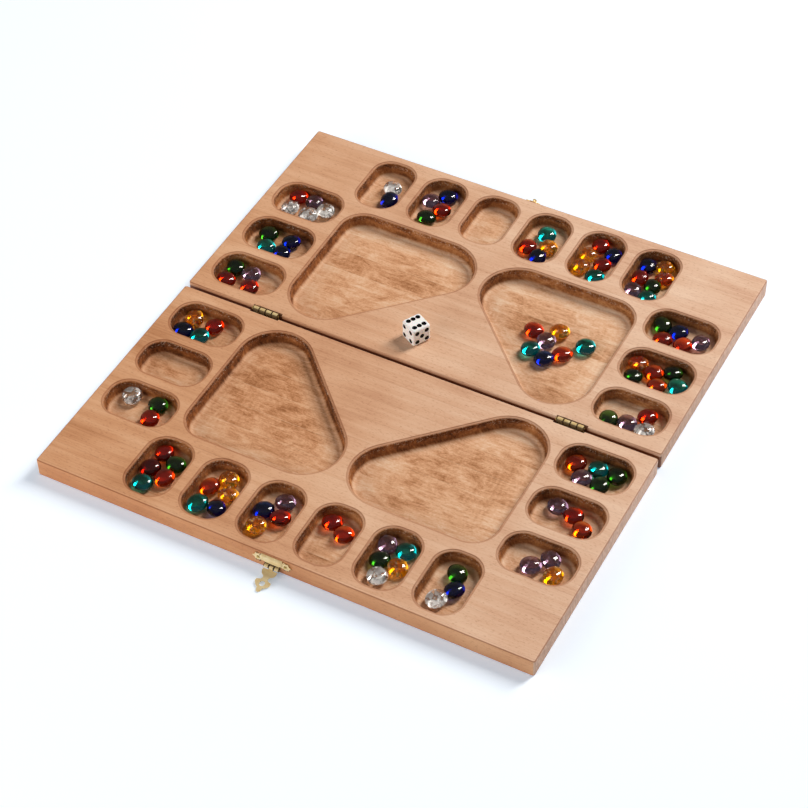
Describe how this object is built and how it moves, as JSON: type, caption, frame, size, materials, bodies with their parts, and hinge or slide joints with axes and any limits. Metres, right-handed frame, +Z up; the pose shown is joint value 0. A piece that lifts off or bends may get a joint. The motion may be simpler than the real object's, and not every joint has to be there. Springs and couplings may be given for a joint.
{
  "type": "folding mancala board",
  "caption": "Folding wooden mancala board for more than two players, open flat, with routed pits and stores, butt hinges, a brass hasp, glass stones in the pits and a die.",
  "frame": {"origin": "the middle of the footprint of the open board, hasp tongue and catch stud included, on the surface that it lies on", "axes": "+X along the fold line, +Y from the half with the hasp to the half with the catch, +Z up"},
  "size_m": [0.444, 0.4934, 0.0333],
  "materials": {
    "hardwood": "satin lacquer",
    "brass": "bright plated",
    "brassed_steel": "bright plated",
    "die_acrylic": "gloss",
    "stone_glass_mixed": "polished, in mixed colours",
    "stone_glass_teal": "polished",
    "stone_glass_clear": "polished"
  },
  "bodies": {
    "rear_board": {"catch_nail_1": "brassed_steel", "catch_nail_2": "brassed_steel", "catch_plate": "brass", "catch_stud": "brass", "hinge_left_leaf_rear": "brass", "hinge_left_pin": "brassed_steel", "hinge_left_screw_rear_1": "brassed_steel", "hinge_left_screw_rear_2": "brassed_steel", "hinge_right_leaf_rear": "brass", "hinge_right_pin": "brassed_steel", "hinge_right_screw_rear_1": "brassed_steel", "hinge_right_screw_rear_2": "brassed_steel", "rear_half": "hardwood"},
    "front_board": {"front_half": "hardwood", "hasp_nail_1": "brassed_steel", "hasp_nail_2": "brassed_steel", "hasp_pin": "brassed_steel", "hasp_plate": "brass", "hinge_left_leaf_front": "brass", "hinge_left_screw_front_1": "brassed_steel", "hinge_left_screw_front_2": "brassed_steel", "hinge_right_leaf_front": "brass", "hinge_right_screw_front_1": "brassed_steel", "hinge_right_screw_front_2": "brassed_steel"},
    "hasp_tongue": {"hasp_tongue": "brass"},
    "die": {"die": "die_acrylic"},
    "stones_front_left_1": {"stones_front_left_1": "stone_glass_mixed"},
    "stones_front_left_3": {"stones_front_left_3": "stone_glass_mixed"},
    "stones_front_left_3_lone": {"stones_front_left_3_lone": "stone_glass_clear"},
    "stones_front_right_1": {"stones_front_right_1": "stone_glass_mixed"},
    "stones_front_right_2": {"stones_front_right_2": "stone_glass_mixed"},
    "stones_front_right_3": {"stones_front_right_3": "stone_glass_mixed"},
    "stones_front_row_left_1": {"stones_front_row_left_1": "stone_glass_mixed"},
    "stones_front_row_left_2": {"stones_front_row_left_2": "stone_glass_mixed"},
    "stones_front_row_left_3": {"stones_front_row_left_3": "stone_glass_mixed"},
    "stones_front_row_right_1": {"stones_front_row_right_1": "stone_glass_mixed"},
    "stones_front_row_right_2": {"stones_front_row_right_2": "stone_glass_mixed"},
    "stones_front_row_right_3": {"stones_front_row_right_3": "stone_glass_mixed"},
    "stones_rear_left_1": {"stones_rear_left_1": "stone_glass_mixed"},
    "stones_rear_left_2": {"stones_rear_left_2": "stone_glass_mixed"},
    "stones_rear_left_3": {"stones_rear_left_3": "stone_glass_mixed"},
    "stones_rear_right_1": {"stones_rear_right_1": "stone_glass_mixed"},
    "stones_rear_right_2": {"stones_rear_right_2": "stone_glass_mixed"},
    "stones_rear_right_3": {"stones_rear_right_3": "stone_glass_mixed"},
    "stones_rear_row_left_2": {"stones_rear_row_left_2": "stone_glass_mixed"},
    "stones_rear_row_left_3": {"stones_rear_row_left_3": "stone_glass_mixed"},
    "stones_rear_row_right_1": {"stones_rear_row_right_1": "stone_glass_mixed"},
    "stones_rear_row_right_2": {"stones_rear_row_right_2": "stone_glass_mixed"},
    "stones_rear_row_right_3": {"stones_rear_row_right_3": "stone_glass_mixed"},
    "stones_rear_store": {"stones_rear_store": "stone_glass_mixed"},
    "stones_rear_store_lone": {"stones_rear_store_lone": "stone_glass_teal"}
  },
  "joints": [
    {"name": "fold", "type": "hinge", "parent": "rear_board", "child": "front_board", "pos_m": [0, 0.00961, 0.0172], "axis": [-1, 0, 0], "range_deg": [0, 180]},
    {"name": "hasp_swing", "type": "hinge", "parent": "front_board", "child": "hasp_tongue", "pos_m": [-0.0025, -0.22379, 0.0048], "axis": [-1, 0, 0], "range_deg": [0, 97.71]},
    {"name": "lift_die_off", "type": "hinge", "parent": "rear_board", "child": "die", "pos_m": [0, 0.15421, 0.0168], "axis": [-1, 0, 0], "range_deg": [0, 180]},
    {"name": "stones_front_left_1_lift", "type": "slide", "parent": "front_board", "child": "stones_front_left_1", "axis": [0, 0, -1], "range_m": [-0.05, 0]},
    {"name": "stones_front_left_3_lift", "type": "slide", "parent": "front_board", "child": "stones_front_left_3", "axis": [0, 0, -1], "range_m": [-0.05, 0]},
    {"name": "stones_front_left_3_lone_lift", "type": "slide", "parent": "front_board", "child": "stones_front_left_3_lone", "axis": [0, 0, -1], "range_m": [-0.05, 0]},
    {"name": "stones_front_right_1_lift", "type": "slide", "parent": "front_board", "child": "stones_front_right_1", "axis": [0, 0, -1], "range_m": [-0.05, 0]},
    {"name": "stones_front_right_2_lift", "type": "slide", "parent": "front_board", "child": "stones_front_right_2", "axis": [0, 0, -1], "range_m": [-0.05, 0]},
    {"name": "stones_front_right_3_lift", "type": "slide", "parent": "front_board", "child": "stones_front_right_3", "axis": [0, 0, -1], "range_m": [-0.05, 0]},
    {"name": "stones_front_row_left_1_lift", "type": "slide", "parent": "front_board", "child": "stones_front_row_left_1", "axis": [0, 0, -1], "range_m": [-0.05, 0]},
    {"name": "stones_front_row_left_2_lift", "type": "slide", "parent": "front_board", "child": "stones_front_row_left_2", "axis": [0, 0, -1], "range_m": [-0.05, 0]},
    {"name": "stones_front_row_left_3_lift", "type": "slide", "parent": "front_board", "child": "stones_front_row_left_3", "axis": [0, 0, -1], "range_m": [-0.05, 0]},
    {"name": "stones_front_row_right_1_lift", "type": "slide", "parent": "front_board", "child": "stones_front_row_right_1", "axis": [0, 0, -1], "range_m": [-0.05, 0]},
    {"name": "stones_front_row_right_2_lift", "type": "slide", "parent": "front_board", "child": "stones_front_row_right_2", "axis": [0, 0, -1], "range_m": [-0.05, 0]},
    {"name": "stones_front_row_right_3_lift", "type": "slide", "parent": "front_board", "child": "stones_front_row_right_3", "axis": [0, 0, -1], "range_m": [-0.05, 0]},
    {"name": "stones_rear_left_1_lift", "type": "slide", "parent": "rear_board", "child": "stones_rear_left_1", "axis": [0, 0, -1], "range_m": [-0.05, 0]},
    {"name": "stones_rear_left_2_lift", "type": "slide", "parent": "rear_board", "child": "stones_rear_left_2", "axis": [0, 0, -1], "range_m": [-0.05, 0]},
    {"name": "stones_rear_left_3_lift", "type": "slide", "parent": "rear_board", "child": "stones_rear_left_3", "axis": [0, 0, -1], "range_m": [-0.05, 0]},
    {"name": "stones_rear_right_1_lift", "type": "slide", "parent": "rear_board", "child": "stones_rear_right_1", "axis": [0, 0, -1], "range_m": [-0.05, 0]},
    {"name": "stones_rear_right_2_lift", "type": "slide", "parent": "rear_board", "child": "stones_rear_right_2", "axis": [0, 0, -1], "range_m": [-0.05, 0]},
    {"name": "stones_rear_right_3_lift", "type": "slide", "parent": "rear_board", "child": "stones_rear_right_3", "axis": [0, 0, -1], "range_m": [-0.05, 0]},
    {"name": "stones_rear_row_left_2_lift", "type": "slide", "parent": "rear_board", "child": "stones_rear_row_left_2", "axis": [0, 0, -1], "range_m": [-0.05, 0]},
    {"name": "stones_rear_row_left_3_lift", "type": "slide", "parent": "rear_board", "child": "stones_rear_row_left_3", "axis": [0, 0, -1], "range_m": [-0.05, 0]},
    {"name": "stones_rear_row_right_1_lift", "type": "slide", "parent": "rear_board", "child": "stones_rear_row_right_1", "axis": [0, 0, -1], "range_m": [-0.05, 0]},
    {"name": "stones_rear_row_right_2_lift", "type": "slide", "parent": "rear_board", "child": "stones_rear_row_right_2", "axis": [0, 0, -1], "range_m": [-0.05, 0]},
    {"name": "stones_rear_row_right_3_lift", "type": "slide", "parent": "rear_board", "child": "stones_rear_row_right_3", "axis": [0, 0, -1], "range_m": [-0.05, 0]},
    {"name": "stones_rear_store_lift", "type": "slide", "parent": "rear_board", "child": "stones_rear_store", "axis": [0, 0, -1], "range_m": [-0.05, 0]},
    {"name": "stones_rear_store_lone_lift", "type": "slide", "parent": "rear_board", "child": "stones_rear_store_lone", "axis": [0, 0, -1], "range_m": [-0.05, 0]}
  ],
  "couplings": [
    {"joint": "lift_die_off", "follows": "fold", "ratio": 1}
  ]
}
